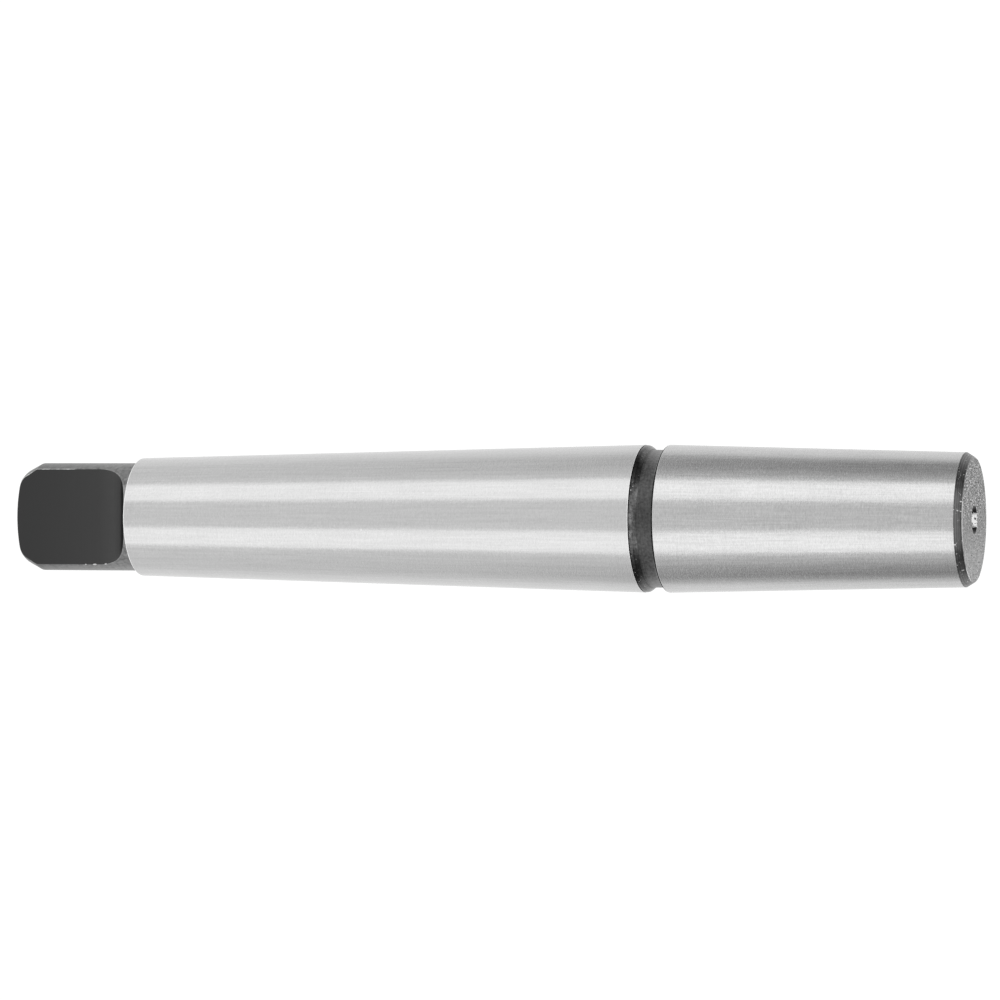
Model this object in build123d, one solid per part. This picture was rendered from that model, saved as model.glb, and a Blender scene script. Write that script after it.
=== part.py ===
from build123d import *
import math
import os

# Drill chuck arbor, turned in one piece: a size 2 self-holding shank with a tang, a neck
# groove and a short chuck taper. It stands on the end face of the chuck taper with the tang up.
# All lengths are in millimetres, and lengths along the arbor are measured along Z.

# Self-holding tapers: the loss of diameter for each millimetre of length, the same on both
taper_share = 0.04995

# Chuck taper at the foot of the arbor
nose_gauge_diameter = 17.780
nose_gauge_offset = 5.2
nose_length = 37.7
nose_chamfer_length = 0.96
nose_chamfer_depth = 0.60

# Shank with its gauge plane a little above the large end
shank_gauge_diameter = 17.780
shank_gauge_offset = 5.0
shank_length = 65.3

# Neck groove between the two tapers: a plain collar, a turned flank and a flat floor
neck_collar_length = 0.40
neck_flank_length = 0.65
neck_floor_length = 1.85
neck_depth = 0.62
neck_corner_radius = 0.30

# Break on the edges that the grinding wheel leaves sharp
edge_break = 0.15

# Tang with two milled flats and a slightly domed end
tang_length = 16.0
tang_diameter = 13.50
tang_thickness = 6.10
tang_dome_radius = 22.0
tang_chamfer_length = 2.90
tang_chamfer_depth = 1.12
tang_corner_radius = 1.75
cutter_radius = 5.0
cutter_gap = 0.02

# Centre holes in both ends: a countersink for the lathe centre and a pilot
centre_mouth_diameter = 3.10
centre_pilot_diameter = 1.60
centre_pilot_length = 2.20
centre_cone_angle = 60.0
pilot_tip_angle = 118.0

# Distance by which every cutting tool reaches past the metal
overrun = 2.0

# Radii that follow from the tapers
nose_large_radius = (nose_gauge_diameter + taper_share * nose_gauge_offset) / 2
nose_small_radius = nose_large_radius - taper_share * (nose_length - nose_chamfer_length) / 2
nose_face_radius = nose_small_radius - nose_chamfer_depth
shank_large_radius = (shank_gauge_diameter + taper_share * shank_gauge_offset) / 2
shank_small_radius = shank_large_radius - taper_share * shank_length / 2
neck_radius = min(nose_large_radius, shank_large_radius) - neck_depth
tang_radius = tang_diameter / 2

# Levels along the arbor
neck_flank_level = nose_length + neck_floor_length
neck_collar_level = neck_flank_level + neck_flank_length
shank_level = neck_collar_level + neck_collar_length
shoulder_level = shank_level + shank_length
arbor_length = shoulder_level + tang_length
tang_chamfer_level = arbor_length - tang_chamfer_length
flat_level = shoulder_level + cutter_gap + cutter_radius


def corner_of(face, point):
    """The corner of a flat face that lies at a point."""
    return face.vertices().sort_by_distance(point)[0]


def dome_level(radius):
    """The level of the tang's domed end at a radius from the axis."""
    return arbor_length - tang_dome_radius + math.sqrt(tang_dome_radius**2 - radius**2)


def centre_hole():
    """Radius and depth of each corner of a centre hole, from its tip out to its mouth."""
    mouth_radius = centre_mouth_diameter / 2
    pilot_radius = centre_pilot_diameter / 2
    cone_length = (mouth_radius - pilot_radius) / math.tan(math.radians(centre_cone_angle / 2))
    tip_length = pilot_radius / math.tan(math.radians(pilot_tip_angle / 2))
    pilot_end = cone_length + centre_pilot_length
    return [
        (0, pilot_end + tip_length),
        (pilot_radius, pilot_end),
        (pilot_radius, cone_length),
        (mouth_radius, 0),
    ]


def turned_body():
    """The whole arbor as it leaves the lathe and the grinder, before the flats are milled."""
    neck_corner = (neck_radius, nose_length)
    tang_corner_offset = tang_radius - tang_chamfer_depth
    tang_corner = (tang_corner_offset, dome_level(tang_corner_offset))
    side = Polyline(
        *centre_hole(),
        (nose_face_radius, 0),
        (nose_small_radius, nose_chamfer_length),
        (nose_large_radius - taper_share * edge_break / 2, nose_length - edge_break),
        (nose_large_radius - edge_break, nose_length),
        neck_corner,
        (neck_radius, neck_flank_level),
        (shank_large_radius, neck_collar_level),
        (shank_large_radius, shank_level),
        (shank_small_radius + taper_share * edge_break / 2, shoulder_level - edge_break),
        (shank_small_radius - edge_break, shoulder_level),
        (tang_radius, shoulder_level),
        (tang_radius, tang_chamfer_level),
        tang_corner,
    )
    mouth_radius = centre_mouth_diameter / 2
    mouth = (mouth_radius, dome_level(mouth_radius))
    middle_radius = (tang_corner_offset + mouth_radius) / 2
    dome = ThreePointArc(tang_corner, (middle_radius, dome_level(middle_radius)), mouth)
    tang_hole = [(radius, mouth[1] - depth) for radius, depth in reversed(centre_hole())]
    inside = Polyline(*tang_hole, centre_hole()[0])
    face = make_face(side.edges() + dome.edges() + inside.edges())
    face = fillet(corner_of(face, neck_corner), neck_corner_radius)
    face = fillet(corner_of(face, tang_corner), tang_corner_radius)
    return revolve(Plane.XZ * face, axis=Axis.Z)


def flat_cutter():
    """The space swept by the milling cutter on the +Y side, with its rim's run-out."""
    inner = tang_thickness / 2
    outer = inner + cutter_radius + tang_diameter
    bottom = flat_level - cutter_radius
    top = arbor_length + overrun
    reach = tang_radius + overrun
    corner = (inner, bottom)
    outline = [corner, (outer, bottom), (outer, top), (inner, top)]
    face = make_face(Polyline(*outline, close=True).edges())
    face = fillet(corner_of(face, corner), cutter_radius)
    return extrude(Plane.YZ * face, amount=reach, both=True)


# The turned body with its two centre holes, less the two flats of the tang
arbor = turned_body()
arbor -= flat_cutter()
arbor -= Rot(0, 0, 180) * flat_cutter()

os.makedirs("parts", exist_ok=True)
export_step(arbor, "parts/drill_chuck_arbor.step")
print("length", round(arbor_length, 3), "volume", round(arbor.volume, 2), "solids", len(arbor.solids()))
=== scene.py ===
# %% [markdown]
# A drill chuck arbor, dressed for a studio photograph.
#
# The real thing is one bar of steel. A lathe turns it, a milling cutter makes the two flats of
# the tang, the whole bar is blackened in a hot salt bath, and a grinder then takes the black off
# the two tapers. So it has one shape and a few finishes: bright ground tapers, a black tang,
# neck and end chamfer, a grey end face, and drilled centre holes.
#
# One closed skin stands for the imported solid. The solid's own triangles would also do for the
# shape, but a skin worked out from formulas has its edge lines on the real edges, can soften
# those edges as the real ones are, and can tell its materials where its edges are.

# %% Load the frame
import math

import bpy
import numpy as np
from mathutils import Matrix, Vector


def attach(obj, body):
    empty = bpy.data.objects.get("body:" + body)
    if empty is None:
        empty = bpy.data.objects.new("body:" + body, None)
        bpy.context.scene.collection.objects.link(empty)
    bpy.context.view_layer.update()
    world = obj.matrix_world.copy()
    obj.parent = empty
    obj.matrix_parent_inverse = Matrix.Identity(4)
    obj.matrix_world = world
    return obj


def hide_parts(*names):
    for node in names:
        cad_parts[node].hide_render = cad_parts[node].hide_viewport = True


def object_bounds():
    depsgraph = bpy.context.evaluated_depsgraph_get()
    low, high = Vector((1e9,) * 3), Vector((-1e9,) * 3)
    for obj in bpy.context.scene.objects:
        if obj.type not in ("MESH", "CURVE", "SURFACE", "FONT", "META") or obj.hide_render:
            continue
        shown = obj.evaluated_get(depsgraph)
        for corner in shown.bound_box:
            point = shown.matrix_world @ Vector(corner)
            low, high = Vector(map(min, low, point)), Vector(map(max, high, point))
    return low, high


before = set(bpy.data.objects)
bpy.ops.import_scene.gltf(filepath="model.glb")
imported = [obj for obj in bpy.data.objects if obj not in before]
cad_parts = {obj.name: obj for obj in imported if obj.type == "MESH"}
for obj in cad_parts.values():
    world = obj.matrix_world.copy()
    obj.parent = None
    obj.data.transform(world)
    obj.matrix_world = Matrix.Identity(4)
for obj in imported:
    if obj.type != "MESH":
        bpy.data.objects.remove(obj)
cad_low, cad_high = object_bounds()
NODE = "drill_chuck_arbor"
MM = 0.001
print("packed solid, mm:", [round(side / MM, 2) for side in cad_high - cad_low])

# %% [markdown]
# The sizes are those of the real part, in millimetres. The arbor stands on the small end of the
# chuck taper, at level zero, and the tang points up. Both tapers are self-holding ones, so each
# radius follows from a gauge diameter and the rate of the taper. The centre hole in the lower
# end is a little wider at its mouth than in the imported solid, as the photograph shows it.

# %% Sizes
TAPER = 0.04995 / 2
GAUGE_RADIUS = 17.78 / 2
NOSE_GAUGE, SHANK_GAUGE = 5.2, 5.0
MOUTH_GAIN = 0.14
nose_length = 37.7
nose_top_radius = GAUGE_RADIUS + TAPER * NOSE_GAUGE
nose_chamfer_length, nose_chamfer_depth = 0.96, 0.60
neck_floor_length, neck_flank_length, neck_collar_length = 1.85, 0.65, 0.40
neck_depth = 0.62
shank_length = 65.3
shank_base_radius = GAUGE_RADIUS + TAPER * SHANK_GAUGE
tang_length, tang_radius, tang_half = 16.0, 13.50 / 2, 6.10 / 2
tang_dome_radius = 22.0
tang_chamfer_length, tang_chamfer_depth, tang_corner = 2.90, 1.12, 1.75
cutter_radius, cutter_gap = 5.0, 0.02
mouth_radius, pilot_radius, pilot_length = 3.10 / 2, 1.60 / 2, 2.20
foot_mouth_radius = mouth_radius + MOUTH_GAIN
cone_half_angle, drill_half_angle = math.radians(30), math.radians(59)

nose_foot_radius = nose_top_radius - TAPER * (nose_length - nose_chamfer_length)
nose_face_radius = nose_foot_radius - nose_chamfer_depth
neck_radius = shank_base_radius - neck_depth
flank_level = nose_length + neck_floor_length
collar_level = flank_level + neck_flank_length
shank_level = collar_level + neck_collar_length
shoulder_level = shank_level + shank_length
shoulder_radius = shank_base_radius - TAPER * shank_length
top_level = shoulder_level + tang_length
flat_level = shoulder_level + cutter_gap + cutter_radius
cone_depth = (mouth_radius - pilot_radius) / math.tan(cone_half_angle)
pilot_depth = cone_depth + pilot_length
tip_depth = pilot_depth + pilot_radius / math.tan(drill_half_angle)


def dome_level(radius):
    """The level of the tang's domed end, top_level - R + sqrt(R^2 - radius^2)."""
    return top_level - tang_dome_radius + np.sqrt(tang_dome_radius ** 2 - radius ** 2)


rim_gap = dome_level(mouth_radius) - cad_high.z / MM
print("top of the dome less the packed solid's, mm:", round(float(rim_gap), 4))

# %% [markdown]
# A turned shape is a line drawn once and carried round the axis. No edge of a real part is
# perfectly sharp, and a sharp one in a render catches no light, so every corner of the line is
# rounded by an arc. A row of points lies at HOLD from each arc, which keeps its smooth shading
# from spreading over the long straight stretches. A bevel modifier would round the edges too,
# but it wouldn't tell the materials which points lie on an edge.

# %% Rounding the corners of a turned line
HOLD = 0.06
SAME_PLACE = 0.0005
ROW_STEP = 1.6
ARC_STEP = math.radians(7)
NOSE, SHANK, MILLED, TURNED, FLOOR, GLOSSY, CREASE, CHAMFER, FACED, DRILLED = range(10)


def corner(radius, level, rounding, finish, arc=None, share=1.0, wear=0.0, rows=None):
    """One corner of the line: where it is, how round it is, the finish after it and on a share
    of its arc, how worn it is, and the rows after it if they aren't evenly spaced."""
    return {"at": np.array([radius, level], float), "rounding": rounding, "finish": finish,
            "arc": finish if arc is None else arc, "share": share, "wear": wear, "rows": rows}


def rounded_line(corners):
    """Rows (radius, level), wear and finish of a turned line.

    The arc of a corner touches both stretches at the distance rounding * tan(half the turn)
    from it. Wear goes from 0 up and back along the arc, as the sine of its share. Of two rows
    at the same place only the later stays.
    """
    rows, wear, finish = [corners[0]["at"]], [0.0], [corners[0]["finish"]]
    for before, here, after in zip(corners, corners[1:], corners[2:] + [None]):
        into = here["at"] - (before["at"] if before["rows"] is None else before["rows"][-1])
        into = into / np.linalg.norm(into)
        arc, arc_wear = here["at"][None, :], np.zeros(1)
        if after is not None:
            ahead = (after["at"] if here["rows"] is None else here["rows"][0]) - here["at"]
            turn = math.atan2(into[0] * ahead[1] - into[1] * ahead[0], into @ ahead)
            start = here["at"] - into * here["rounding"] * math.tan(abs(turn) / 2)
            side = np.array([-into[1], into[0]]) * math.copysign(1.0, turn)
            steps = max(3, int(abs(turn) / ARC_STEP) + 1)
            swing = np.linspace(0, abs(turn), steps + 1)[:, None]
            arc = start + here["rounding"] * (side * (1 - np.cos(swing)) + into * np.sin(swing))
            arc_wear = here["wear"] * np.sin(np.linspace(0, np.pi, steps + 1))
        run = np.linalg.norm(arc[0] - rows[-1])
        hold = min(HOLD, run / 3)
        stations = np.linspace(hold, run - hold, max(2, int(run / ROW_STEP) + 2))
        between = rows[-1] + into * stations[:, None]
        if before["rows"] is not None:
            between = before["rows"]
        rows.extend(between)
        rows.extend(arc)
        wear.extend([0.0] * len(between))
        wear.extend(arc_wear)
        finish.extend([before["finish"]] * len(between))
        on_arc = min(round(len(arc) * here["share"]), len(arc) - 1)
        finish.extend([here["arc"]] * on_arc + [here["finish"]] * (len(arc) - on_arc))
    apart = np.linalg.norm(np.diff(rows, axis=0), axis=1) > SAME_PLACE
    kept = np.append(apart, True)
    return np.array(rows)[kept], np.array(wear)[kept], np.array(finish)[kept]


# %% [markdown]
# The line starts at the tip of the centre hole in the lower end, comes out of it, and follows
# the outside up to the hole in the top. Each corner has its radius, its level and its
# rounding. Its stretches carry numbers for their finishes, which are the numbers of the
# material slots. The creases under the two ground lips are stretches of their own, which get a
# painted shade.
#
# The flats of the tang end in the hollow of the cutter's rim. That hollow is steep at its
# lower end, where it comes out of the round bar at one point and widens fast, so the rows lie
# closest there: their distance along the rim falls with the square of a share from 0 to 1. On
# the domed end the edge of the flat closes in the same way, so the rows there follow equal
# steps of the edge's own angle.

# %% The arbor's line
RIM_ROWS, FLAT_ROWS, DOME_ROWS, ROUND_ROWS = 40, 32, 16, 9
COLLAR_DROP = 0.04
LOWER_CREASE, UPPER_CREASE, LIP = 0.30, 0.14, 0.02

rim_angle = math.acos((tang_half + cutter_radius - tang_radius) / cutter_radius)
rim_share = np.linspace(0, 1, RIM_ROWS + 1)
rim_levels = flat_level - cutter_radius * np.sin(rim_angle * (1 - rim_share ** 2))
chamfer_level = top_level - tang_chamfer_length
flat_levels = np.linspace(flat_level, chamfer_level - HOLD * 2, FLAT_ROWS)
tang_levels = np.concatenate([rim_levels[:1] - HOLD / 4, rim_levels, flat_levels[1:]])
tang_rows = np.stack([np.full(len(tang_levels), tang_radius), tang_levels], 1)


def domed_end():
    """Rows of the tang's end from its chamfer over the rounded corner to the hole's mouth.

    The rounding's centre is tang_corner away from the chamfer's line and dome radius less
    tang_corner away from the dome's centre, so its arc runs into both without a kink.
    """
    foot = np.array([tang_radius, chamfer_level])
    corner_radius = tang_radius - tang_chamfer_depth
    along = np.array([corner_radius, dome_level(corner_radius)]) - foot
    along = along / np.linalg.norm(along)
    outward = np.array([along[1], -along[0]])
    from_dome = foot - outward * tang_corner - np.array([0, top_level - tang_dome_radius])
    half = from_dome @ along
    gap = tang_dome_radius - tang_corner
    share = -half + math.sqrt(half ** 2 - from_dome @ from_dome + gap ** 2)
    centre = foot - outward * tang_corner + along * share
    first = math.atan2(outward[0], outward[1])
    swing = np.linspace(first, math.asin(centre[0] / gap), ROUND_ROWS)
    arc = centre + tang_corner * np.stack([np.sin(swing), np.cos(swing)], 1)
    straight = foot + along * np.array([[HOLD * 3], [share / 3], [share * 2 / 3], [share - HOLD]])
    edge_angles = np.linspace(math.acos(tang_half / (arc[-1, 0] - HOLD)), 0, DOME_ROWS)
    inner = np.linspace(tang_half - HOLD, mouth_radius + 2 * HOLD, DOME_ROWS // 2)
    radii = np.concatenate([tang_half / np.cos(edge_angles), inner])
    return np.concatenate([straight, arc, np.stack([radii, dome_level(radii)], 1)])


def hole_corners(level, side, mouth):
    """The corners of a centre hole from its tip to its pilot's mouth; side is 1 for the hole
    in the lower end and -1 for the one in the top. The cone is (mouth - pilot) / tan(30) deep."""
    cone = (mouth - pilot_radius) / math.tan(cone_half_angle)
    return [
        corner(0, level + side * tip_depth, 0, DRILLED),
        corner(pilot_radius, level + side * pilot_depth, 0.05, DRILLED),
        corner(pilot_radius, level + side * cone, 0.05, DRILLED),
    ]


mouth_level = float(dome_level(mouth_radius))
collar_radius = shank_base_radius - COLLAR_DROP
corners = hole_corners(0, 1, foot_mouth_radius) + [
    corner(foot_mouth_radius, 0, 0.10, FACED, arc=DRILLED),
    corner(nose_face_radius, 0, 0.16, CHAMFER, arc=FACED, share=0.45, wear=0.9),
    corner(nose_foot_radius, nose_chamfer_length, 0.08, NOSE, arc=CHAMFER, wear=0.5),
    # the CREASE stretches, here and under the upper lip, get a painted shade
    corner(nose_top_radius, nose_length, 0.24, CREASE, arc=NOSE, share=0.1, wear=0.8),
    corner(nose_top_radius - LOWER_CREASE, nose_length, 0, FLOOR),
    corner(neck_radius, nose_length, 0.30, FLOOR),
    corner(neck_radius, flank_level, 0.50, GLOSSY, arc=FLOOR),
    corner(collar_radius, collar_level, 0.60, GLOSSY),
    corner(collar_radius, shank_level - UPPER_CREASE, 0, CREASE),
    corner(collar_radius, shank_level - LIP, 0.01, SHANK, arc=CREASE),
    # the wear on the ground lips also drives a painted highlight along them
    corner(shank_base_radius, shank_level + LIP, 0.16, SHANK, wear=1.0),
    corner(shoulder_radius, shoulder_level, 0.20, TURNED, arc=SHANK, wear=1.0),
    corner(tang_radius, shoulder_level, 0.05, TURNED, rows=tang_rows),
    corner(tang_radius, chamfer_level, 0.15, TURNED, wear=0.35, rows=domed_end()),
    corner(mouth_radius, mouth_level, 0.08, DRILLED),
] + hole_corners(mouth_level, -1, mouth_radius)[::-1]
line, line_wear, line_finish = rounded_line(corners)
print("rows of the line:", len(line), "from", line[0], "to", line[-1])

# %% [markdown]
# The tang is the turned line with two flats milled on it. Seen along the axis, a flat is a
# straight line at a fixed distance from the axis, so in polar form its radius is that distance
# divided by the cosine of the angle from its normal. The smaller of that radius and the turned
# one is the real surface, on the sides and on the domed end alike. A boolean would cut the same
# shape, but this way the edge of the flat is rounded a little, and a column of points can
# follow it all the way.

# %% The flats of the tang
FLAT_EDGE = 0.20
BESIDE = 0.1
line_radius, line_level = line.T
on_tang = (line_level > rim_levels[0] - HOLD / 2) & (line_radius > mouth_radius + BESIDE)


def flat_distance(level):
    """Distance of a flat from the axis: half the tang's thickness, plus what the cutter's rim
    leaves below the flat, cutter_radius - sqrt(cutter_radius^2 - depth^2)."""
    depth = np.clip(flat_level - level, 0, cutter_radius)
    return tang_half + cutter_radius - np.sqrt(cutter_radius ** 2 - depth ** 2)


def smaller(one, other, width):
    """The smaller of two lengths, less width * near^2 / 4 where near = 1 - |one - other| /
    width is above zero, which rounds the edge; and near itself."""
    near = np.clip(1 - np.abs(one - other) / width, 0, 1)
    return np.minimum(one, other) - width * near ** 2 / 4, near


reach = np.where(on_tang, flat_distance(line_level), np.inf)
print("rows on the tang:", int(on_tang.sum()), "flat at", round(float(reach.min()), 3), "mm")

# %% [markdown]
# Columns of points run from end to end. In each quarter turn one of them follows the edge
# between flat and round, with a crowd beside it to carry the rounding. From the shoulder down
# the columns drift apart again until they are even at the neck, and on the domed end they do
# the same from the flat to the hole, so no face is sheared much.

# %% Columns that follow the edge
QUARTER, FLAT_COLUMNS, EDGE_COLUMNS = 64, 22, 10
EDGE_SPREAD = 1.0
LEAST_ANGLE = 2.5
DRIFT_INSET = 1.0
TINY = 1e-6


def column_angles():
    """Angles in degrees from a flat's normal, one row of QUARTER * 4 per row of the line.

    Each quarter has its edge angle e = acos(flat distance / radius) and a spread s. A quarter
    is three even stretches: 0 to e - s, e - s to e + s, and e + s to 90. Where a row has no
    edge to follow, e and s go from even values to their least ones as the drift goes from 0
    to 1.
    """
    even_edge = 90 * (FLAT_COLUMNS + EDGE_COLUMNS / 2) / QUARTER
    even_spread = 90 * EDGE_COLUMNS / 2 / QUARTER
    edge = np.degrees(np.arccos(np.clip(reach / np.maximum(line_radius, TINY), 0, 1)))
    follows = on_tang & (line_radius > tang_half - BESIDE)
    edge = np.where(follows, np.maximum(edge, LEAST_ANGLE), even_edge)
    spread = np.where(follows, EDGE_SPREAD, even_spread)
    drift = (line_level - shank_level - DRIFT_INSET) / (shank_length - 2 * DRIFT_INSET)
    inside = (line_radius - mouth_radius - BESIDE) / (tang_half - mouth_radius - 2 * BESIDE)
    on_end = (line_radius < tang_radius - 2 * BESIDE) & (line_level > shoulder_level)
    drift = np.clip(np.where(on_end, inside, drift), 0, 1)
    drift = np.where(follows, 0, drift)
    edge = edge + drift * (LEAST_ANGLE - edge)
    spread = spread + drift * (EDGE_SPREAD - spread)
    share = np.linspace(0, 1, QUARTER + 1) * QUARTER
    low = np.clip(share / FLAT_COLUMNS, 0, 1)
    middle = np.clip((share - FLAT_COLUMNS) / EDGE_COLUMNS, 0, 1)
    high = (share - FLAT_COLUMNS - EDGE_COLUMNS) / (QUARTER - FLAT_COLUMNS - EDGE_COLUMNS)
    high = np.clip(high, 0, 1)
    quarter = (low * (edge - spread)[:, None] + middle * (2 * spread)[:, None]
               + high * (90 - edge - spread)[:, None])
    column = np.arange(QUARTER * 4)
    odd = column // QUARTER % 2
    step = np.where(odd, QUARTER - column % QUARTER, column % QUARTER)
    start = np.array([0, 180, 180, 360])[column // QUARTER]
    return start + np.where(odd, -1, 1) * quarter[:, step]


angles = np.radians(column_angles())
print("columns:", angles.shape[1])

# %% [markdown]
# Now the radius of every point. A corner of the turned line that the flat cuts away is not
# worn, so the line's wear counts only where the turned surface is the outer one. The edges of
# the flats are worn most at the tip, on the side that was handled. The edge on the other side
# has a few nicks, each with its level, half its width and its depth. The rim of the foot is
# bare where the arbor was set down. All of these are too shallow to change the outline, so
# they are values for the materials to read.
#
# Bearings round the axis are in degrees: 0 is the camera's side, and 90 is up in the picture.

# %% Radius of every point
WORN_SIDE, NICKED_SIDE = 63, -63
HANDLED, HANDLED_SWING, HANDLED_BELOW, HANDLED_RISE = 0.54, 0.38, 0.55, 4
NICKS = [(111.3, 0.20, 1.1), (110.75, 0.35, 0.65), (109.75, 0.24, 1.1), (112.4, 0.22, 0.7)]
NICK_REACH, NICKED_TURN = 0.5, 0.7
SET_DOWN = [(0, 24), (298, 14), (130, 30), (215, 24)]
RIM_WEAR, SET_DOWN_WEAR = 0.45, 0.75


def bell(bearing, middle, width):
    """exp(-(turn / width)^2) of the turn in degrees from the middle, the short way round."""
    turn = (bearing - middle + 180) % 360 - 180
    return np.exp(-(turn / width) ** 2)


bearing = 180 - np.degrees(angles)
turned = np.repeat(line_radius[:, None], angles.shape[1], 1)
flats = reach[:, None] / np.maximum(np.abs(np.cos(angles)), TINY)
cut, near = smaller(turned, flats, FLAT_EDGE)
radius = np.where(on_tang[:, None], cut, turned)
near = np.where(on_tang[:, None], near, 0)
toward_tip = np.clip((line_level[:, None] - flat_level) / HANDLED_RISE, 0, 1)
handled = HANDLED + HANDLED_SWING * np.cos(np.radians(bearing - WORN_SIDE))
handled = handled * (HANDLED_BELOW + (1 - HANDLED_BELOW) * toward_tip)
struck = sum(depth * np.exp(-((line_level - level) / half) ** 2) for level, half, depth in NICKS)
beside_edge = np.clip(1 - np.abs(turned - flats) / NICK_REACH, 0, 1) * on_tang[:, None]
nicked = np.cos(np.radians(bearing - NICKED_SIDE)) > NICKED_TURN
struck = beside_edge * struck[:, None] * nicked
set_down = sum(bell(bearing, middle, width) for middle, width in SET_DOWN)
on_rim = line_level[:, None] < nose_chamfer_length / 2
turned_wear = line_wear[:, None] * np.where(on_rim, RIM_WEAR + SET_DOWN_WEAR * set_down, 1)
wear = np.clip(np.where(turned < flats, turned_wear, 0) + near * handled + struck, 0, 1)
print("largest radius, mm:", round(float(radius.max()), 4))

# %% [markdown]
# The oxide in the neck is blotched: the bath took better in some places than in others. Each
# blotch is a bell curve of the bearing round the axis, given by its middle, its width and its
# depth, which is above zero where the oxide is thin and light. The flank and the collar above
# it have blotches of their own. The floor of the neck is even, apart from a few places of
# painted reflection, bell curves of the bearing too, that grow lighter towards the chuck taper.

# %% Blotches and painted reflection round the neck
THIN, THICK = 0.50, -0.55
BLOTCHES = [(0, 8, -0.30), (23, 8, 1.6), (51, 12, -0.45), (84, 9, THIN), (118, 16, THICK / 2),
            (150, 10, THIN), (190, 18, THICK), (232, 12, THIN), (257, 9, THICK / 2),
            (279, 8, THIN), (310, 11, THICK), (337, 8, 1.1)]
COLLAR_BLOTCHES = [(0, 13, 1.1), (25, 9, -0.60), (50, 15, -0.70), (86, 9, 0.5), (125, 20, 0.8),
                   (180, 22, -0.7), (228, 14, 0.7), (272, 9, 0.5), (311, 14, -0.7), (334, 8, -0.2)]
REFLECTION_BEARINGS, REFLECTION_WIDTH, REFLECTION_GAIN, REFLECTION_FOOT = (67, 160, 200, 293), 24, 2.4, 0.25
FLOOR_MARGIN = 0.05

flank = sum(depth * bell(bearing, middle, width) for middle, width, depth in BLOTCHES)
collar = sum(depth * bell(bearing, middle, width) for middle, width, depth in COLLAR_BLOTCHES)
on_collar = np.clip((line_level - flank_level) / neck_flank_length * 2 - 1, 0, 1)[:, None]
oxide_and_reflection = 1 + flank + on_collar * (collar - flank)
toward_lip = np.clip((flank_level - line_level) / neck_floor_length, 0, 1)[:, None]
# painted reflection: the floor is lighter at these bearings, most of all near the chuck taper
painted_reflection = sum(bell(bearing, middle, REFLECTION_WIDTH) for middle in REFLECTION_BEARINGS)
painted_reflection = painted_reflection * (REFLECTION_FOOT + (1 - REFLECTION_FOOT) * toward_lip)
on_floor = (line_level < flank_level + FLOOR_MARGIN)[:, None]
oxide_and_reflection = np.where(on_floor, 1 + REFLECTION_GAIN * painted_reflection, oxide_and_reflection)
print("oxide from", round(float(oxide_and_reflection.min()), 2), "to", round(float(oxide_and_reflection.max()), 2))

# %% [markdown]
# The grid becomes a mesh. The first and the last row have no radius, so each is one point, and
# a fan of triangles closes the skin there. The finish of each face goes into its material
# index, and the wear and the oxide of each point into attributes that the materials read.

# %% Grid into mesh
def skin_mesh(name):
    """A closed mesh of the grid: x = radius * sin(angle), y = radius * cos(angle), z = level.

    A face is milled where the flat is nearer the axis than the turned surface, on the mean of
    its four corners.
    """
    rows, columns = radius.shape
    inner = slice(1, rows - 1)
    x = (radius * np.sin(angles))[inner].ravel()
    y = (radius * np.cos(angles))[inner].ravel()
    z = np.repeat(line_level[inner], columns)
    poles = np.array([[0, 0, line_level[0]], [0, 0, line_level[-1]]])
    places = np.concatenate([np.stack([x, y, z], 1), poles]) * MM
    index = np.arange((rows - 2) * columns).reshape(rows - 2, columns)
    beside = np.roll(index, -1, 1)
    quads = np.stack([index[:-1], index[1:], beside[1:], beside[:-1]], 2).reshape(-1, 4)
    low_pole, high_pole = len(places) - 2, len(places) - 1
    low_fan = np.stack([np.full(columns, low_pole), index[0], beside[0]], 1)
    high_fan = np.stack([np.full(columns, high_pole), beside[-1], index[-1]], 1)
    mesh = bpy.data.meshes.new(name)
    mesh.from_pydata(places, [], quads.tolist() + low_fan.tolist() + high_fan.tolist())
    gap = (flats - turned)[inner] / 4
    gap = gap[:-1] + gap[1:]
    gap = gap + np.roll(gap, -1, 1)
    finishes = np.repeat(line_finish[1:rows - 2, None], columns, 1)
    finishes = np.where(gap < 0, MILLED, finishes).ravel()
    finishes = np.concatenate([finishes, np.full(2 * columns, DRILLED)])
    mesh.polygons.foreach_set("material_index", finishes.astype(np.int32))
    mesh.polygons.foreach_set("use_smooth", np.ones(len(finishes), bool))
    for label, values in {"wear": wear, "oxide_and_reflection": oxide_and_reflection}.items():
        layer = mesh.attributes.new(label, "FLOAT", "POINT")
        layer.data.foreach_set("value", np.concatenate([values[inner].ravel(), np.zeros(2)]))
    mesh.update()
    return mesh


mesh = skin_mesh("ground_arbor")
mesh.validate()
arbor = bpy.data.objects.new("ground_arbor", mesh)
bpy.context.scene.collection.objects.link(arbor)
triangles = sum(len(face.vertices) - 2 for face in mesh.polygons)
print("faces:", len(mesh.polygons), "triangles:", triangles)
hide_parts(NODE)
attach(arbor, "root")

# %% [markdown]
# Materials are built from nodes. The first helper adds one node, sets its plain values and
# joins its inputs, so that each material below reads as a list of what feeds what. The others
# are the few kinds of node that nearly every material here needs.

# %% Helpers for nodes
def node(tree, kind, inputs=(), **settings):
    """Adds a node of that kind. Each of inputs is (socket name or number, value or socket)."""
    made = tree.nodes.new(kind)
    for name, value in settings.items():
        setattr(made, name, value)
    for name, value in dict(inputs).items():
        if isinstance(value, bpy.types.NodeSocket):
            tree.links.new(value, made.inputs[name])
        else:
            made.inputs[name].default_value = value
    return made


def maths(tree, operation, *values):
    """A Math node's result."""
    return node(tree, "ShaderNodeMath", enumerate(values), operation=operation).outputs[0]


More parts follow.
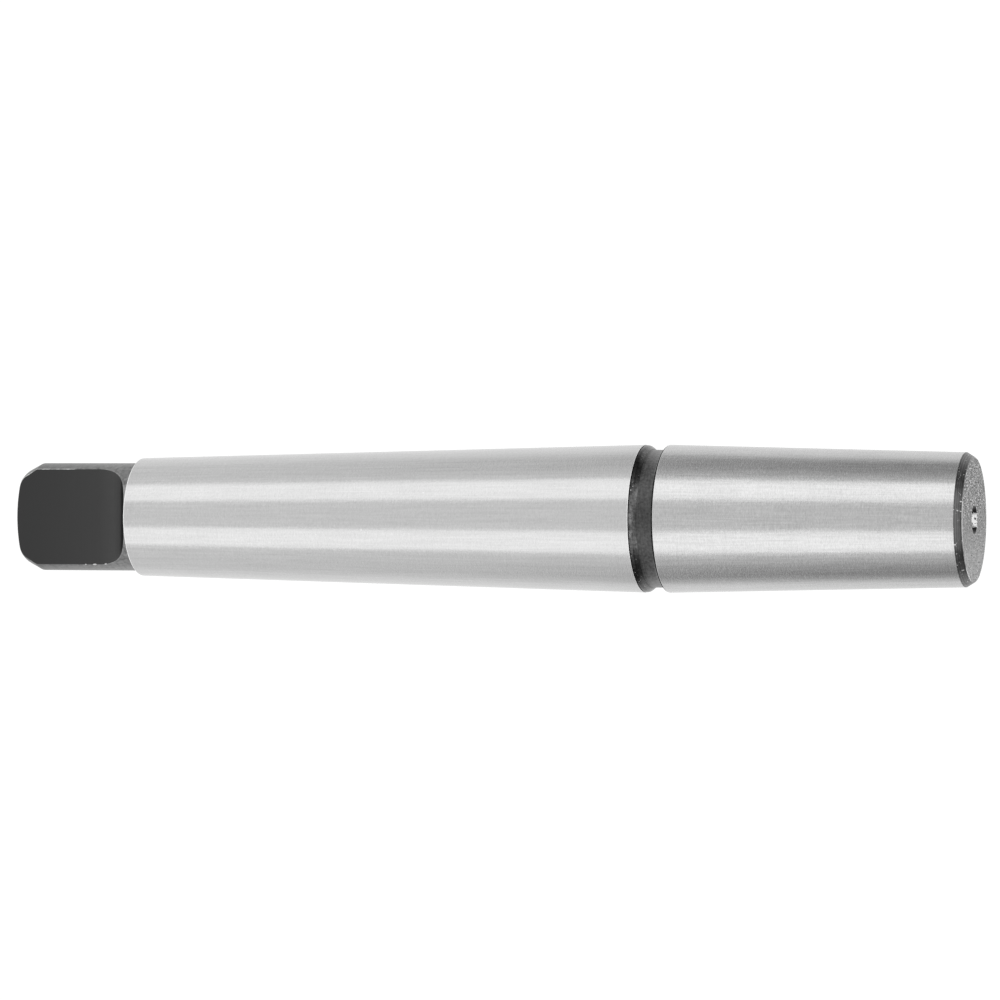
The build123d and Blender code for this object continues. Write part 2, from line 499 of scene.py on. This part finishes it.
def smooth_step(tree, value, start, end, low=0.0, high=1.0):
    """A smooth change from low to high while value goes from start to end."""
    inputs = {"Value": value, "From Min": start, "From Max": end, "To Min": low, "To Max": high}
    made = node(tree, "ShaderNodeMapRange", inputs, interpolation_type="SMOOTHSTEP")
    return made.outputs["Result"]


def sway(tree, noise, share=None):
    """A noise of 0 to 1 as a change about zero: noise less a half, times the share."""
    change = maths(tree, "SUBTRACT", noise, 0.5)
    return change if share is None else maths(tree, "MULTIPLY", change, share)


def new_group(name, inputs, outputs):
    """A shader node group; inputs are (name, kind, default) and outputs are (name, kind)."""
    group = bpy.data.node_groups.new(name, "ShaderNodeTree")
    for label, kind, default in inputs:
        socket = group.interface.new_socket(label, in_out="INPUT", socket_type="NodeSocket" + kind)
        if default is not None:
            socket.default_value = default
    for label, kind in outputs:
        group.interface.new_socket(label, in_out="OUTPUT", socket_type="NodeSocket" + kind)
    return group, node(group, "NodeGroupInput").outputs, node(group, "NodeGroupOutput").inputs


def use_group(tree, group, inputs):
    """Places a node group in a tree and gives its outputs."""
    return node(tree, "ShaderNodeGroup", inputs, node_tree=group).outputs


# %% [markdown]
# Grinding and turning leave fine lines that run round the bar. Noise stretched along the lines
# gives them: its place is divided by the length of a line across the bar and by the width of a
# line along it. The axis of the arbor is the Z axis, so this needs no angle and has no seam.
# An image of scratches would need a seam, and would stretch on the cones.
#
# The group gives five noises of one pair of sizes: the lines, finer ones, rings that run nearly
# right round, patches as long as they are wide, and faint streaks along the bar, which a cloth
# leaves.

# %% Lines round the bar
FINE_LENGTH, FINE_WIDTH, RING_LENGTH, WIPED_WIDTH, WIPED_LENGTH = 0.5, 0.35, 8.0, 1.6, 70.0
lines_group, lines_in, lines_out = new_group(
    "lines_round_the_bar",
    [("Place", "Vector", None), ("Length", "Float", 2.0), ("Width", "Float", 0.15),
     ("Patch", "Float", 8.0)],
    [("Lines", "Float"), ("Fine Lines", "Float"), ("Rings", "Float"), ("Patches", "Float"),
     ("Wiped", "Float")],
)


def stretched_noise(tree, place, length, width, detail, roughness):
    """Noise from 0 to 1 that is long across the axis and thin along it, sizes in millimetres."""
    size = node(tree, "ShaderNodeCombineXYZ", {0: length, 1: length, 2: width}).outputs[0]
    scaled = node(tree, "ShaderNodeVectorMath", {0: place, 1: size}, operation="DIVIDE").outputs[0]
    made = node(tree, "ShaderNodeTexNoise",
                {"Vector": scaled, "Scale": 1.0, "Detail": detail, "Roughness": roughness})
    return made.outputs[0]


line_length, line_width, patch_size = lines_in["Length"], lines_in["Width"], lines_in["Patch"]
fine_length = maths(lines_group, "MULTIPLY", line_length, FINE_LENGTH)
fine_width = maths(lines_group, "MULTIPLY", line_width, FINE_WIDTH)
ring_length = maths(lines_group, "MULTIPLY", line_length, RING_LENGTH)
wiped_width = maths(lines_group, "MULTIPLY", line_width, WIPED_WIDTH)
wiped_length = maths(lines_group, "MULTIPLY", line_width, WIPED_LENGTH)
for label, (length, width, detail, roughness) in {
    "Lines": (line_length, line_width, 2.0, 0.6),
    "Fine Lines": (fine_length, fine_width, 1.0, 0.5),
    "Rings": (ring_length, line_width, 1.0, 0.5),
    "Patches": (patch_size, patch_size, 2.0, 0.5),
    "Wiped": (wiped_width, wiped_length, 2.0, 0.6),
}.items():
    value = stretched_noise(lines_group, lines_in["Place"], length, width, detail, roughness)
    lines_group.links.new(value, lines_out[label])
print("nodes in the group of lines:", len(lines_group.nodes))

# %% [markdown]
# Edges wear first. The mesh carries a wear value that is 1 along each edge and falls to 0
# beside it. The group breaks that value up with noise, so that the bright line on an edge comes
# and goes as it does on a handled tool.

# %% Edge wear
LEAST_WEAR, WEAR_FADE = 0.02, 0.25
wear_group, wear_in, wear_out = new_group(
    "edge_wear",
    [("Place", "Vector", None), ("Wear", "Float", 0.0), ("Grain", "Float", 0.6),
     ("Amount", "Float", 0.5)],
    [("Bare", "Float")],
)
wear_size = wear_in["Grain"]
coarse = stretched_noise(wear_group, wear_in["Place"], wear_size, wear_size, 3.0, 0.65)
broken = maths(wear_group, "ADD", wear_in["Wear"], sway(wear_group, coarse))
limit = maths(wear_group, "SUBTRACT", 1.0, wear_in["Amount"])
bare = smooth_step(wear_group, maths(wear_group, "SUBTRACT", broken, limit), 0.0, WEAR_FADE)
has_edge = maths(wear_group, "GREATER_THAN", wear_in["Wear"], LEAST_WEAR)
wear_group.links.new(maths(wear_group, "MULTIPLY", bare, has_edge), wear_out["Bare"])
print("nodes in the group of wear:", len(wear_group.nodes))

# %% [markdown]
# Every material starts the same way: the point's place on the object in millimetres, the wear
# attribute, and a Principled shader. The place comes from Object coordinates, so a pattern
# stays on the metal wherever the arbor goes.

# %% The start of each material
def new_material(name, metallic, roughness):
    """A material with its tree, place in millimetres, wear value and Principled shader."""
    made = bpy.data.materials.new(name)
    made.use_nodes = True
    tree = made.node_tree
    tree.nodes.clear()
    shader = node(tree, "ShaderNodeBsdfPrincipled")
    shader.inputs["Metallic"].default_value = metallic
    shader.inputs["Roughness"].default_value = roughness
    node(tree, "ShaderNodeOutputMaterial", {"Surface": shader.outputs[0]})
    own = node(tree, "ShaderNodeTexCoord").outputs["Object"]
    place = node(tree, "ShaderNodeVectorMath", {0: own, "Scale": 1 / MM}, operation="SCALE")
    worn = node(tree, "ShaderNodeAttribute", attribute_name="wear").outputs["Fac"]
    arbor.data.materials.append(made)
    return tree, place.outputs[0], worn, shader


def grey(tree, value):
    """A colour of three equal parts."""
    return node(tree, "ShaderNodeCombineColor", {0: value, 1: value, 2: value}).outputs[0]


def bump(tree, shader, height, distance):
    """Feeds the shader's normal from a height of 0 to 1 times a distance in millimetres."""
    made = node(tree, "ShaderNodeBump",
                {"Height": height, "Distance": distance * MM, "Strength": 1.0})
    tree.links.new(made.outputs[0], shader.inputs["Normal"])


def blend(tree, factor, low, high):
    """low where the factor is 0 and high where it is 1."""
    return node(tree, "ShaderNodeMix", {0: factor, 2: low, 3: high}).outputs[0]


# %% [markdown]
# The two tapers are ground bright after the blackening. Ground steel is a metal of neutral grey
# with a soft mirror look: it shows the lamps as bands along the bar. Handling leaves a few
# bright marks on it, and its worn lips are brighter and duller than the rest, which is wear
# and also a painted highlight along each lip. The chuck taper has coarser lines than the shank,
# so one function makes both with their own sizes.

# %% Ground steel
MARK_SIZE, MARK_START, MARK_FADE, MARK_TONE = 0.42, 0.875, 0.02, 0.74
WORN_HIGHLIGHT_TONE, WORN_ROUGHNESS = 0.92, 0.50
FINE_SHARE, RING_SHARE, PATCH_SHARE, WIPED_SHARE = 0.6, 0.25, 0.25, 0.8
GROUND_TONE, GROUND_ROUGHNESS, LINE_ROUGHNESS, GROUND_WEAR_AND_HIGHLIGHT = 0.62, 0.17, 0.12, 0.75


def ground_steel(name, length, width, contrast, relief):
    """Ground steel of colour GROUND_TONE * (1 + contrast * change), brighter on worn edges:
    wear, and a painted highlight.

    The change is the lines, plus FINE_SHARE of the fine ones, RING_SHARE of the rings,
    PATCH_SHARE of the patches and WIPED_SHARE of the wiped streaks. The first three are its
    relief as well. A bright mark shows where a small round noise is above MARK_START.
    """
    tree, place, worn, shader = new_material(name, 1.0, GROUND_ROUGHNESS)
    lines = use_group(tree, lines_group, {"Place": place, "Length": length, "Width": width})
    coarse_line = sway(tree, lines["Lines"])
    streak = maths(tree, "ADD", coarse_line, sway(tree, lines["Fine Lines"], FINE_SHARE))
    streak = maths(tree, "ADD", streak, sway(tree, lines["Rings"], RING_SHARE))
    patchy = maths(tree, "ADD", sway(tree, lines["Wiped"], WIPED_SHARE),
                   sway(tree, lines["Patches"], PATCH_SHARE))
    shade = maths(tree, "MULTIPLY", maths(tree, "ADD", streak, patchy), contrast)
    base = maths(tree, "MULTIPLY", maths(tree, "ADD", shade, 1.0), GROUND_TONE)
    grain = stretched_noise(tree, place, MARK_SIZE, MARK_SIZE, 0.0, 0.5)
    marked = smooth_step(tree, grain, MARK_START, MARK_START + MARK_FADE)
    base = blend(tree, marked, base, MARK_TONE)
    # worn lips take a brighter tone: wear, and a painted highlight along the lip
    bare = use_group(tree, wear_group,
                     {"Place": place, "Wear": worn, "Amount": GROUND_WEAR_AND_HIGHLIGHT})["Bare"]
    tree.links.new(grey(tree, blend(tree, bare, base, WORN_HIGHLIGHT_TONE)), shader.inputs["Base Color"])
    rough = maths(tree, "MULTIPLY", coarse_line, LINE_ROUGHNESS)
    rough = maths(tree, "ADD", GROUND_ROUGHNESS, rough)
    tree.links.new(blend(tree, bare, rough, WORN_ROUGHNESS), shader.inputs["Roughness"])
    bump(tree, shader, streak, relief)


ground_steel("ground_nose", length=0.42, width=0.13, contrast=0.43, relief=0.0090)
ground_steel("ground_shank", length=0.34, width=0.17, contrast=0.25, relief=0.0060)
print("ground:", [material.name for material in arbor.data.materials])

# %% [markdown]
# Knocks leave short bright dents in the oxide. They are narrower than the columns of the mesh,
# so the material draws each as a line on the surface: it has its bearing at level zero, its
# drift in degrees for each millimetre of level, half its width in degrees, and its lowest and
# highest level. Noise breaks the line up.

# %% Dents
DENT_GRAIN, DENT_START, DENT_FULL, DENT_CORE = 0.24, 0.42, 0.55, 0.4


def bearing_of(tree, part):
    """The bearing in degrees of a place or a direction, atan2(X, -Y)."""
    toward = maths(tree, "MULTIPLY", part["Y"], -1.0)
    return maths(tree, "DEGREES", maths(tree, "ARCTAN2", part["X"], toward))


def dented(tree, place, dents):
    """1 within the half width of bearing = start + drift * level, times broken noise."""
    part = node(tree, "ShaderNodeSeparateXYZ", {0: place}).outputs
    own_bearing = bearing_of(tree, part)
    shown = 0.0
    for start, drift, half, low, high in dents:
        middle = maths(tree, "ADD", maths(tree, "MULTIPLY", part["Z"], drift), start)
        off = maths(tree, "ABSOLUTE", maths(tree, "SUBTRACT", own_bearing, middle))
        dent = smooth_step(tree, off, half, half * DENT_CORE)
        dent = maths(tree, "MULTIPLY", dent, maths(tree, "GREATER_THAN", part["Z"], low))
        dent = maths(tree, "MULTIPLY", dent, maths(tree, "LESS_THAN", part["Z"], high))
        shown = maths(tree, "MAXIMUM", shown, dent)
    grain = stretched_noise(tree, place, DENT_GRAIN, DENT_GRAIN, 1.0, 0.5)
    return maths(tree, "MULTIPLY", shown, smooth_step(tree, grain, DENT_START, DENT_FULL))


# %% [markdown]
# The salt bath leaves a thin black iron oxide. Over milled steel it is satin and nearly black.
# Over the turned sides of the tang it is thinner, grey and mottled, and it grows lighter
# towards the shoulder. Where the wheel has just missed it, beside the neck, it is as glossy as
# ink. The satin one is a dielectric. The others mirror the room in grey, which a metal with a
# dark colour does well. Where an edge is worn the bare steel shows, so the metallic value goes
# up there with the colour. A painted shade darkens the hollow at the foot of the milled flats.

# %% Black oxide
BARE_STEEL, STRUCK_STEEL = 0.60, 0.80
SPECK_SIZE, SPECK_FADE = 0.22, 0.03
FEED_DEPTH = 0.19
CREASE_SHADE_TONE = 0.006
HOLLOW_SHADE_START, HOLLOW_SHADE_END = 0.70, 1.50
RING_PROPORTION, OXIDE_GRAIN, OXIDE_ROUGHNESS, OXIDE_RELIEF = 12, 0.9, 0.25, 0.004


def black_oxide(name, tone, roughness, mottle, ring, patch, metallic=1.0, tip_tone=None,
                blotched=False, width=0.10, amount=0.42, specks=None, feed=None, shaded_hollow=False,
                dents=()):
    """Oxide of colour tone * (1 + mottle * blotches + ring * fine rings), bare where worn.

    A tip tone makes the colour run from tone at the shoulder to tip_tone at the tang's end.
    Specks is the height of noise above which a bright speck shows. Feed is the distance
    between the rings of the lathe's tool, which add FEED_DEPTH * sin(2 pi level / feed). A
    painted shade turns it to the dark tone of the creases, fading out between two levels above
    the shoulder, in the hollow at the foot of the flats.
    """
    tree, place, worn, shader = new_material(name, metallic, roughness)
    lines = use_group(tree, lines_group,
                      {"Place": place, "Length": RING_PROPORTION * width, "Width": width,
                       "Patch": patch})
    level = node(tree, "ShaderNodeSeparateXYZ", {0: place}).outputs["Z"]
    blotch = sway(tree, lines["Patches"])
    rings = sway(tree, lines["Rings"])
    if feed is not None:
        wave = maths(tree, "SINE", maths(tree, "MULTIPLY", level, 2 * math.pi / feed))
        rings = maths(tree, "ADD", rings, maths(tree, "MULTIPLY", wave, FEED_DEPTH))
    shade = maths(tree, "ADD", maths(tree, "MULTIPLY", blotch, mottle),
                  maths(tree, "MULTIPLY", rings, ring))
    if tip_tone is not None:
        tone = smooth_step(tree, level, shoulder_level, top_level, tone, tip_tone)
    base = maths(tree, "MULTIPLY", maths(tree, "ADD", shade, 1.0), tone)
    # the attribute holds the oxide blotches and, on the neck's floor, a painted reflection
    if blotched:
        oxide_and_reflection = node(tree, "ShaderNodeAttribute", attribute_name="oxide_and_reflection").outputs["Fac"]
        base = maths(tree, "MULTIPLY", base, oxide_and_reflection)
    bare = use_group(tree, wear_group,
                     {"Place": place, "Wear": worn, "Grain": OXIDE_GRAIN,
                      "Amount": amount})["Bare"]
    if specks is not None:
        grain = stretched_noise(tree, place, SPECK_SIZE, SPECK_SIZE, 1.0, 0.5)
        bare = maths(tree, "MAXIMUM", bare, smooth_step(tree, grain, specks, specks + SPECK_FADE))
    if dents:
        bare = maths(tree, "MAXIMUM", bare, dented(tree, place, dents))
    # painted shade: the hollow at the foot of the milled flats turns to the dark crease tone
    if shaded_hollow:
        hollow_shade = smooth_step(tree, level, shoulder_level + HOLLOW_SHADE_END, shoulder_level + HOLLOW_SHADE_START)
        base = blend(tree, hollow_shade, base, CREASE_SHADE_TONE)
        metallic = maths(tree, "MAXIMUM", hollow_shade, metallic)
    bare_tone = STRUCK_STEEL if dents else BARE_STEEL
    tree.links.new(grey(tree, blend(tree, bare, base, bare_tone)), shader.inputs["Base Color"])
    tree.links.new(maths(tree, "MAXIMUM", bare, metallic), shader.inputs["Metallic"])
    rough = maths(tree, "ADD", roughness, maths(tree, "MULTIPLY", blotch, OXIDE_ROUGHNESS))
    tree.links.new(blend(tree, bare, rough, WORN_ROUGHNESS), shader.inputs["Roughness"])
    relief = maths(tree, "ADD", lines["Patches"], maths(tree, "MULTIPLY", rings, ring))
    bump(tree, shader, relief, OXIDE_RELIEF)


black_oxide("black_milled", tone=0.025, roughness=0.50, mottle=0.30, ring=0.20, patch=1.6,
            metallic=0.0, tip_tone=0.010, shaded_hollow=True)
black_oxide("black_turned", tone=0.26, roughness=0.38, mottle=1.6, ring=0.5, patch=0.5,
            tip_tone=0.17)
black_oxide("black_floor", tone=0.080, roughness=0.34, mottle=1.5, ring=0.5, patch=0.3,
            blotched=True)
black_oxide("black_gloss", tone=0.10, roughness=0.16, mottle=2.2, ring=0.5, patch=0.3,
            blotched=True, specks=0.72)
print("materials with the oxides:", len(arbor.data.materials))

# %% [markdown]
# The sharp corner under each ground lip gets a painted shade, a thin dark line that reflects
# almost nothing. A low index of refraction takes its gloss away.

# %% Painted shade in the creases
CREASE_SHADE_INDEX = 1.1
shader = new_material("painted_crease_shade", 0.0, 0.9)[-1]
shader.inputs["Base Color"].default_value = (CREASE_SHADE_TONE, CREASE_SHADE_TONE, CREASE_SHADE_TONE, 1)
shader.inputs["IOR"].default_value = CREASE_SHADE_INDEX

# %% [markdown]
# The chamfer of the foot was turned and blackened like the tang's sides, but it shows the
# lathe's fine rings, its inner rim is worn where it was set down, and dents lie across it.

# %% Chamfer
DENTS = [(7.4, 1.4, 0.60, -0.1, 1.1), (16.4, 0.8, 0.75, -0.1, 0.30),
         (-21.8, 0.5, 0.85, 0.6, 1.1), (-51.5, 2.5, 0.80, 0.1, 0.6),
         (171.0, -1.5, 0.60, 0.2, 1.1), (96.0, 2.0, 0.60, -0.1, 0.6)]
black_oxide("black_chamfer", tone=0.150, roughness=0.30, mottle=0.6, ring=1.3, patch=0.6,
            width=0.20, amount=0.60, specks=0.70, feed=0.235, dents=DENTS)

# %% [markdown]
# The end face was cut off and faced, then only lightly touched by the bath, so it is a rough
# mottled grey with black and bright specks. The specks are the high and the low ends of a fine
# noise. Half of the face was rubbed smooth, so it is a little lighter and has fewer specks.

# %% Faced end
CLOUD_SCALE, SPECK_SCALE = 0.6, (4.8, 1.8, 3.0)
FACE_TONE, CLOUD_SHARE, CLOUD_DRIFT = 0.33, 0.55, 8.0
RUBBED_START, RUBBED_FULL, RUBBED_DEPTH = 2.6, -2.2, 0.040
LIGHTER_START, LIGHTER_FULL, LIGHTER_GAIN = -0.5, -5.0, 0.09
DARK_FULL, DARK_END, DARK_SHARE = 0.42, 0.46, 0.16
BRIGHT_START, BRIGHT_FULL, BRIGHT_TONE = 0.57, 0.62, 0.90
FACE_GRAIN, FACE_WEAR, FACE_WORN_TONE = 1.4, 0.55, 0.95
FACE_ROUGHNESS, SPECK_GLOSS, FACE_RELIEF = 0.55, -0.5, 0.02

tree, place, worn, shader = new_material("faced_end", 1.0, 0.5)
cloud = node(tree, "ShaderNodeTexNoise", {"Vector": place, "Scale": CLOUD_SCALE, "Detail": 4.0,
                                          "Roughness": 0.6}).outputs[0]
finely = node(tree, "ShaderNodeMapping", {"Vector": place, "Scale": SPECK_SCALE}).outputs[0]
speck = node(tree, "ShaderNodeTexNoise", {"Vector": finely, "Scale": 1.0, "Detail": 3.0,
                                          "Roughness": 0.7}).outputs[0]
across = node(tree, "ShaderNodeSeparateXYZ", {0: place}).outputs["X"]
across = maths(tree, "ADD", across, sway(tree, cloud, CLOUD_DRIFT))
rubbed = smooth_step(tree, across, RUBBED_START, RUBBED_FULL, 0.0, RUBBED_DEPTH)
dark_speck = smooth_step(tree, maths(tree, "ADD", speck, rubbed), DARK_FULL, DARK_END)
light_speck = smooth_step(tree, maths(tree, "SUBTRACT", speck, rubbed), BRIGHT_START, BRIGHT_FULL)
lighter = smooth_step(tree, across, LIGHTER_START, LIGHTER_FULL, 0.0, LIGHTER_GAIN)
base = maths(tree, "ADD", FACE_TONE, sway(tree, cloud, CLOUD_SHARE))
base = maths(tree, "ADD", base, lighter)
base = blend(tree, dark_speck, maths(tree, "MULTIPLY", base, DARK_SHARE), base)
base = blend(tree, light_speck, base, BRIGHT_TONE)
bare = use_group(tree, wear_group, {"Place": place, "Wear": worn, "Grain": FACE_GRAIN,
                                    "Amount": FACE_WEAR})["Bare"]
tree.links.new(grey(tree, blend(tree, bare, base, FACE_WORN_TONE)), shader.inputs["Base Color"])
rough = maths(tree, "ADD", FACE_ROUGHNESS, sway(tree, speck, SPECK_GLOSS))
tree.links.new(rough, shader.inputs["Roughness"])
bump(tree, shader, speck, FACE_RELIEF)
print("made:", arbor.data.materials[-1].name)

# %% [markdown]
# A centre hole is drilled, and the grinder's centre then polishes its cone. So the cone is
# bright with fine rings and a few specks, and a painted shade darkens its two sides along X.

# %% Drilled centre hole
HOLE_TONE, HOLE_RING, HOLE_RELIEF = 0.92, 0.4, 0.01
HOLE_SHADES = [(0.72, 1.02, 0.34), (-0.85, -1.05, 0.38)]
HOLE_SHADE_FULL, HOLE_SHADE_END, HOLE_SHADE_TONE = 0.40, 0.46, 0.06

tree, place, worn, shader = new_material("drilled_centre", 1.0, 0.3)
lines = use_group(tree, lines_group, {"Place": place, "Length": 0.9, "Width": 0.10, "Patch": 0.4})
across = node(tree, "ShaderNodeSeparateXYZ", {0: place}).outputs["X"]
# painted shade on the two sides of the hole along X, broken up by noise
hole_shade = maths(tree, "ADD", *[smooth_step(tree, across, start, full, 0.0, depth)
                              for start, full, depth in HOLE_SHADES])
unshaded = maths(tree, "SUBTRACT", lines["Patches"], hole_shade)
unshaded = smooth_step(tree, unshaded, HOLE_SHADE_FULL, HOLE_SHADE_END)
base = maths(tree, "ADD", HOLE_TONE, sway(tree, lines["Fine Lines"], HOLE_RING))
tree.links.new(grey(tree, blend(tree, unshaded, HOLE_SHADE_TONE, base)), shader.inputs["Base Color"])
bump(tree, shader, lines["Patches"], HOLE_RELIEF)
print("materials:", [material.name for material in arbor.data.materials])

# %% [markdown]
# A polished bar looks like whatever surrounds it, so the lamps make its look. In a studio a bar
# is lit by a white tent with tall soft lamps at its sides and black cards beyond them, which
# draw the dark lines along its outline. Here the tent is the world: its brightness depends on
# the direction, given as a bearing round the arbor and a height above the horizon. Lamps on
# stands would give the same, but would also need hiding from the camera.
#
# Bearing 0 is the camera's side. The cards reach down below the table, lower ones stand nearer
# to the camera, and their cloth hangs in shallow folds. The camera itself sees plain white
# behind the arbor.

# %% The studio tent
NARROW_START, NARROW_FULL, NARROWING = 18.0, 10.0, 1.03

world = bpy.data.worlds.new("studio_tent")
bpy.context.scene.world = world
world.use_nodes = True
tent = world.node_tree
tent.nodes.clear()
direction = node(tent, "ShaderNodeSeparateXYZ",
                 {0: node(tent, "ShaderNodeTexCoord").outputs["Generated"]}).outputs
height = maths(tent, "DEGREES", maths(tent, "ARCSINE", direction["Z"]))
level_off = maths(tent, "ABSOLUTE", height)
narrowing = smooth_step(tent, level_off, NARROW_START, NARROW_FULL, 1.0, NARROWING)
tent_bearing = maths(tent, "MULTIPLY", bearing_of(tent, direction), narrowing)
aside = maths(tent, "ABSOLUTE", tent_bearing)
print("world:", world.name)

# %% [markdown]
# The white of the tent comes first, brighter away from the horizon and behind the arbor. The
# cards and their folds darken it, the two side lamps go over both, and the light from overhead
# comes last.

# %% Cards and lamps
BAND_START, BAND_END, FRONT_LEVELS, BACK_LEVELS = 9.0, 19.0, (0.72, 0.87), (0.84, 0.93)
BACK_START, BACK_FULL = 60.0, 135.0
CARD_LEVELS, UNDER_LEVEL, LAMP_CUT = (0.30, 0.86), 0.36, 0.40
OVERHEAD_START, OVERHEAD_FULL, OVERHEAD_LEVEL = 35.0, 60.0, 1.05
SEEN_LEVEL = 1.06
SIDE_LAMPS = [(-57, -20, 4, 1.28), (31, 66, 6, 1.28)]
CARD_START, CARD_FULL, CARD_FADE, CARD_END = 51, 99, 104, 138
CARD_LOW, CARD_HIGH = 11, 20.8
UNDER_START, UNDER_FULL = -2, -8
LOW_START, LOW_FULL, LOW_FADE, LOW_END = -22, -31, -52, -68
LOW_CARD_START, LOW_CARD_FULL, LOW_CARD_LEVEL = 38, 72, 0.21
LAMP_START, LAMP_END = -32, -42
FOLD_WIDTH, FOLD_DEPTH = 5.5, 0.32

front = smooth_step(tent, level_off, BAND_START, BAND_END, *FRONT_LEVELS)
back = smooth_step(tent, level_off, BAND_START, BAND_END, *BACK_LEVELS)
light = blend(tent, smooth_step(tent, aside, BACK_START, BACK_FULL), front, back)
low = maths(tent, "MULTIPLY", smooth_step(tent, height, LOW_START, LOW_FULL),
            smooth_step(tent, height, LOW_END, LOW_FADE))
card_start = blend(tent, low, CARD_START, LOW_CARD_START)
card_full = blend(tent, low, CARD_FULL, LOW_CARD_FULL)
card = maths(tent, "MULTIPLY", smooth_step(tent, aside, card_start, card_full),
             smooth_step(tent, aside, CARD_END, CARD_FADE))
card_level = smooth_step(tent, level_off, CARD_LOW, CARD_HIGH, *CARD_LEVELS)
under = smooth_step(tent, height, UNDER_START, UNDER_FULL)
card_level = blend(tent, under, card_level, UNDER_LEVEL)
card_level = blend(tent, low, card_level, LOW_CARD_LEVEL)
fold_number = maths(tent, "DIVIDE", tent_bearing, FOLD_WIDTH)
fold_place = node(tent, "ShaderNodeCombineXYZ", {0: fold_number}).outputs[0]
fold = node(tent, "ShaderNodeTexNoise", {"Vector": fold_place, "Scale": 1.0, "Detail": 1.0})
card_level = maths(tent, "ADD", card_level, sway(tent, fold.outputs[0], FOLD_DEPTH))
light = blend(tent, card, light, card_level)
lamp_cut = smooth_step(tent, height, LAMP_START, LAMP_END, 0.0, LAMP_CUT)
for start, end, soft, level in SIDE_LAMPS:
    rise = smooth_step(tent, tent_bearing, start - soft / 2, start + soft / 2)
    fall = smooth_step(tent, tent_bearing, end + soft / 2, end - soft / 2)
    lamp = maths(tent, "SUBTRACT", level, lamp_cut)
    light = blend(tent, maths(tent, "MULTIPLY", rise, fall), light, lamp)
overhead = smooth_step(tent, height, OVERHEAD_START, OVERHEAD_FULL)
light = blend(tent, overhead, light, OVERHEAD_LEVEL)
seen = node(tent, "ShaderNodeLightPath").outputs["Is Camera Ray"]
light = blend(tent, seen, light, SEEN_LEVEL)
glow = node(tent, "ShaderNodeBackground", {"Color": grey(tent, light), "Strength": 1.0})
node(tent, "ShaderNodeOutputWorld", {"Surface": glow.outputs[0]})
print("nodes in the tent:", len(tent.nodes))

# %% [markdown]
# The floor is a pale sheet under the foot of the arbor. The photograph looks up at the end
# face, from below the level on which the arbor stands, so the floor is clear from below and
# has a hole under the foot that lets light reach the end face. For light alone the hole is
# wider, so that the chamfer is lit as it is in the photograph, and the sheet soon gives way to
# the tent below it, as a glossy sheet would by mirroring the tent. Farther out the floor fades
# into the white of the tent.

# %% Pale floor
FLOOR_HALF, FLOOR_DROP, FLOOR_TONE = 0.6, 0.00003, 0.86
HOLE_RADIUS, FADE_START, FADE_END = 0.0072, 0.07, 0.25
GLOW_RADIUS, GLOSS_START, GLOSS_END = 0.011, 0.012, 0.045
floor_mesh = bpy.data.meshes.new("floor")
floor_corners = [(-FLOOR_HALF, -FLOOR_HALF), (FLOOR_HALF, -FLOOR_HALF),
                 (FLOOR_HALF, FLOOR_HALF), (-FLOOR_HALF, FLOOR_HALF)]
floor_mesh.from_pydata([(x, y, -FLOOR_DROP) for x, y in floor_corners], [], [(0, 1, 2, 3)])
floor = bpy.data.objects.new("floor", floor_mesh)
bpy.context.scene.collection.objects.link(floor)

floor_paint = bpy.data.materials.new("pale_floor")
floor_paint.use_nodes = True
tree = floor_paint.node_tree
tree.nodes.clear()
away = node(tree, "ShaderNodeVectorMath", {0: node(tree, "ShaderNodeTexCoord").outputs["Object"]},
            operation="LENGTH").outputs["Value"]
seen = node(tree, "ShaderNodeLightPath").outputs["Is Camera Ray"]
hole = blend(tree, seen, GLOW_RADIUS, HOLE_RADIUS)
fade = blend(tree, seen, smooth_step(tree, away, GLOSS_END, GLOSS_START),
             smooth_step(tree, away, FADE_END, FADE_START))
solid = maths(tree, "MULTIPLY", fade, maths(tree, "GREATER_THAN", away, hole))
below = node(tree, "ShaderNodeNewGeometry").outputs["Backfacing"]
solid = maths(tree, "MULTIPLY", solid, maths(tree, "SUBTRACT", 1.0, below))
sheet = node(tree, "ShaderNodeBsdfDiffuse", {"Color": (FLOOR_TONE, FLOOR_TONE, FLOOR_TONE, 1)})
clear = node(tree, "ShaderNodeBsdfTransparent")
both = node(tree, "ShaderNodeMixShader", {0: solid, 1: clear.outputs[0], 2: sheet.outputs[0]})
node(tree, "ShaderNodeOutputMaterial", {"Surface": both.outputs[0]})
floor_mesh.materials.append(floor_paint)
print("floor, mm across:", 2 * FLOOR_HALF / MM)

# %% [markdown]
# The photograph shows the arbor lying across the picture with its foot to the right, so the
# camera is rolled: its right is the arbor's downward direction, and its up is the arbor's X.
# The place and the lens were fitted to the outline of the real arbor in the photograph.

# %% Camera
camera_place = (0.00218, -0.5992, -0.1178)
camera_right = (0.00246, 0.28329, -0.95903)
camera_up = (0.999997, -0.000697, 0.00236)
camera_back = (0.0, -0.95903, -0.28334)
lens_data = bpy.data.cameras.new("studio_camera")
lens_data.lens = 182.9
lens_data.sensor_width = 36
lens_data.clip_start = 0.01
lens_data.clip_end = 10
camera = bpy.data.objects.new("studio_camera", lens_data)
turned_frame = Matrix((camera_right, camera_up, camera_back)).transposed().to_4x4()
camera.matrix_world = Matrix.Translation(camera_place) @ turned_frame
bpy.context.scene.collection.objects.link(camera)
bpy.context.scene.camera = camera
bpy.context.scene.view_settings.view_transform = "Standard"
print("camera to foot, mm:", round(math.dist(camera_place, (0, 0, 0)) / MM, 1))
